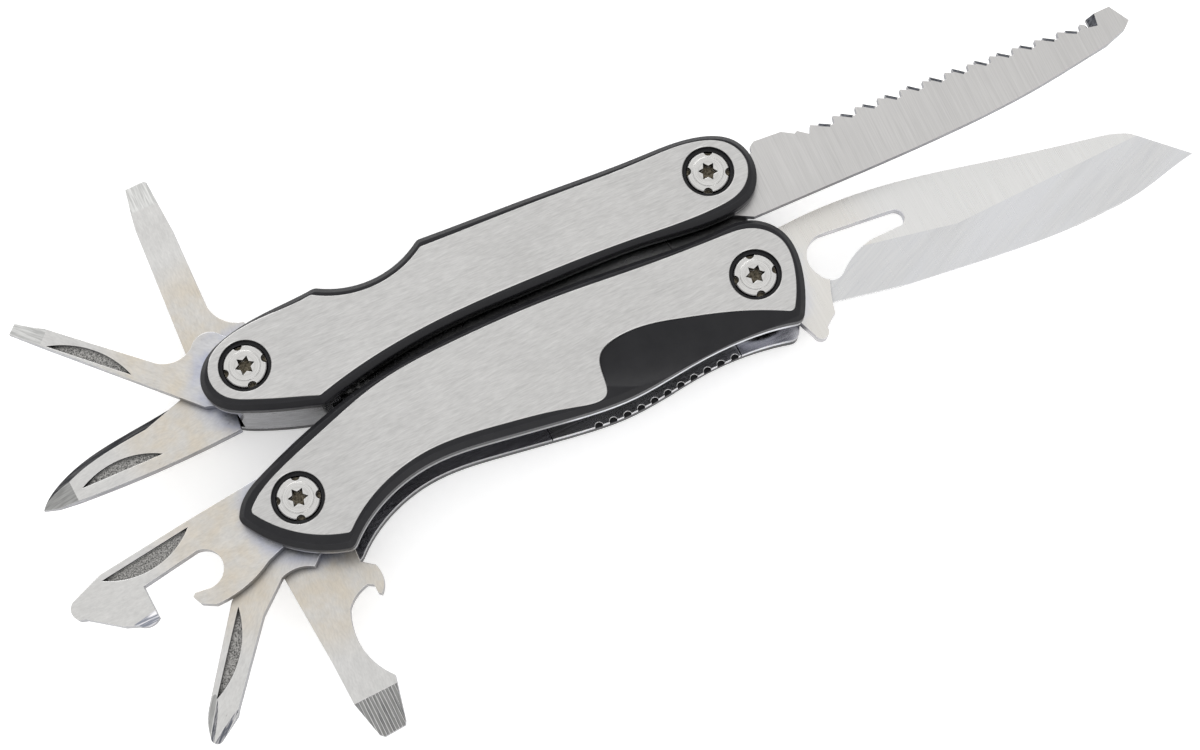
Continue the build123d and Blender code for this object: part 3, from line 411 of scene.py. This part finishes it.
# Each tool's pin, the way it points, how light its facets and its ground tip are (their painted shade),
# whether it has a nail nick
TOOLS = {
    "small_flat_driver": (SAW_TOOL_PIN, SAW_TURN + radians(135), 0.4, 0.6, True),
    "pointed_blade": (SAW_TOOL_PIN, SAW_TURN + radians(188), 0.045, 0.34, True),
    "large_flat_driver": (SAW_TOOL_PIN, SAW_TURN + radians(93), 0.4, 0.6, False),
    "can_opener": (KNIFE_TOOL_PIN, KNIFE_TURN + radians(180), 0.4, 0.5, True),
    "phillips_driver": (KNIFE_TOOL_PIN, KNIFE_TURN + radians(225), 0.22, 0.4, True),
    "bottle_opener": (KNIFE_TOOL_PIN, KNIFE_TURN + radians(266), 0.16, 0.27, False),
}


def put(node_name, material):
    """Show a CAD node in one material."""
    mesh = nodes[node_name].data
    mesh.materials.clear()
    mesh.materials.append(material)


black = scale_plastic("scale_black")
for handle, (pin, tool_pin, turn) in HANDLES.items():
    plate = brushed_steel(f"{handle}_plate", pin, turn, 0.66, 0.5, tint=(1.0, 0.99, 0.975))
    polished = liner_steel(f"{handle}_liner", pin, turn)
    turned = brushed_steel(f"{handle}_turned", pin, turn, 0.55, 0.45, (0.25, 0.35), "satin")
    for side in ("front", "back"):
        put(f"{handle}_{side}_scale", black)
        put(f"{handle}_{side}_plate", plate)
        put(f"{handle}_{side}_liner", polished)
    put(f"{handle}_backspring", polished)
    for name in ("pivot_barrels", "spacers", "spring_rivet"):
        put(f"{handle}_{name}", turned)
    put(f"{handle}_screws", screw_steel(f"{handle}_screws", (pin, tool_pin)))
leaf = brushed_steel(
    "lock_leaf", KNIFE_PIN, KNIFE_TURN, 0.62, 0.5, (0.16, 0.26), "long", wall=0.62, edge=0.18 * MM
)
put("knife_lock_leaf", leaf)
put("knife_blade", knife_steel("knife", KNIFE_PIN, KNIFE_TURN))
put("saw_blade", saw_steel("saw", SAW_PIN, SAW_TURN))
for tool, look in TOOLS.items():
    put(tool, tool_steel(tool, *look))
# Painted shade: the jaws grow dark as far as 12 mm into the gap between the handles.
jaw = brushed_steel("jaw", KNIFE_PIN, 0.0, 0.5, 0.4, (0.25, 0.38), "satin", gap=12 * MM)
for name in ("knife_side_jaw", "saw_side_jaw", "jaw_rivet"):
    put(name, jaw)


# ---------------------------------------------------------------- floor, light and camera

def studio_floor():
    """A plain pale sheet under the tool that curves up far behind it."""
    half, rise, radius, steps = 1.4, 1.2, 0.4, 12
    profile = [(-half, 0.0), (half - radius, 0.0)]
    for i in range(1, steps + 1):
        angle = pi / 2 * i / steps
        profile.append((half - radius + radius * sin(angle), radius * (1 - cos(angle))))
    profile.append((half, rise))
    verts = [(x, y, z) for y, z in profile for x in (-half, half)]
    faces = [(2 * i, 2 * i + 1, 2 * i + 3, 2 * i + 2) for i in range(len(profile) - 1)]
    mesh = bpy.data.meshes.new("floor")
    mesh.from_pydata(verts, [], faces)
    for face in mesh.polygons:
        face.use_smooth = True
    floor = bpy.data.objects.new("floor", mesh)
    bpy.context.scene.collection.objects.link(floor)
    s = Shader("floor_paper")
    paper = s.noise(s.coords, 900, 2.0, 0.5)
    colour = s.mix(s.span(paper, 0.3, 0.7), (0.9, 0.9, 0.9, 1), (0.93, 0.93, 0.93, 1))
    s.feed(s.surface.inputs["Emission Color"], colour)
    mesh.materials.append(s.finish(colour, 0.8, 0.0, s.bump(paper, 0.05 * MM, 0.2), Emission_Strength=0.42))


def softbox(name, place, target, size, power, colour=(1, 1, 1)):
    light = bpy.data.lights.new(name, "AREA")
    light.shape = "RECTANGLE"
    light.size, light.size_y = size
    light.energy = power
    light.color = colour
    lamp = bpy.data.objects.new(name, light)
    bpy.context.scene.collection.objects.link(lamp)
    lamp.location = place
    lamp.rotation_euler = (Vector(target) - Vector(place)).to_track_quat("-Z", "Y").to_euler()


CAMERA_ROLL = radians(25.35)  # the handles' midline climbs this much to the right in the picture
CAMERA_TILT = radians(15)  # away from straight down
CAMERA_DISTANCE = 390 * MM
CAMERA_LENS = 68.8  # mm on a 36 mm wide sensor
LOOK_AT = Vector((-9.1 * MM, -15.6 * MM, TOP))

right = Vector((cos(CAMERA_ROLL), -sin(CAMERA_ROLL), 0))
level = Vector((sin(CAMERA_ROLL), cos(CAMERA_ROLL), 0))
back = -level * sin(CAMERA_TILT) + Vector((0, 0, cos(CAMERA_TILT)))
up = back.cross(right)
camera_place = LOOK_AT + back * CAMERA_DISTANCE


def photo_camera():
    data = bpy.data.cameras.new("camera")
    data.lens = CAMERA_LENS
    data.sensor_width = 36
    data.clip_start = 0.01
    camera = bpy.data.objects.new("camera", data)
    bpy.context.scene.collection.objects.link(camera)
    camera.matrix_world = Matrix.Translation(camera_place) @ Matrix((right, up, back)).transposed().to_4x4()
    bpy.context.scene.camera = camera


def studio_light():
    world = bpy.data.worlds.new("studio")
    world.use_nodes = True
    world.node_tree.nodes["Background"].inputs["Color"].default_value = (1, 1, 1, 1)
    world.node_tree.nodes["Background"].inputs["Strength"].default_value = 0.95
    bpy.context.scene.world = world
    centre = Vector((0, 0, 0))
    softbox("key", centre + level * 0.9 + right * -0.35 + Vector((0, 0, 0.6)), centre, (0.7, 0.5), 2.0)
    softbox("fill", centre + level * -0.8 + right * 0.5 + Vector((0, 0, 0.5)), centre, (0.5, 0.5), 0.8)


studio_floor()
photo_camera()
studio_light()
scene = bpy.context.scene
scene.view_settings.view_transform = "Standard"
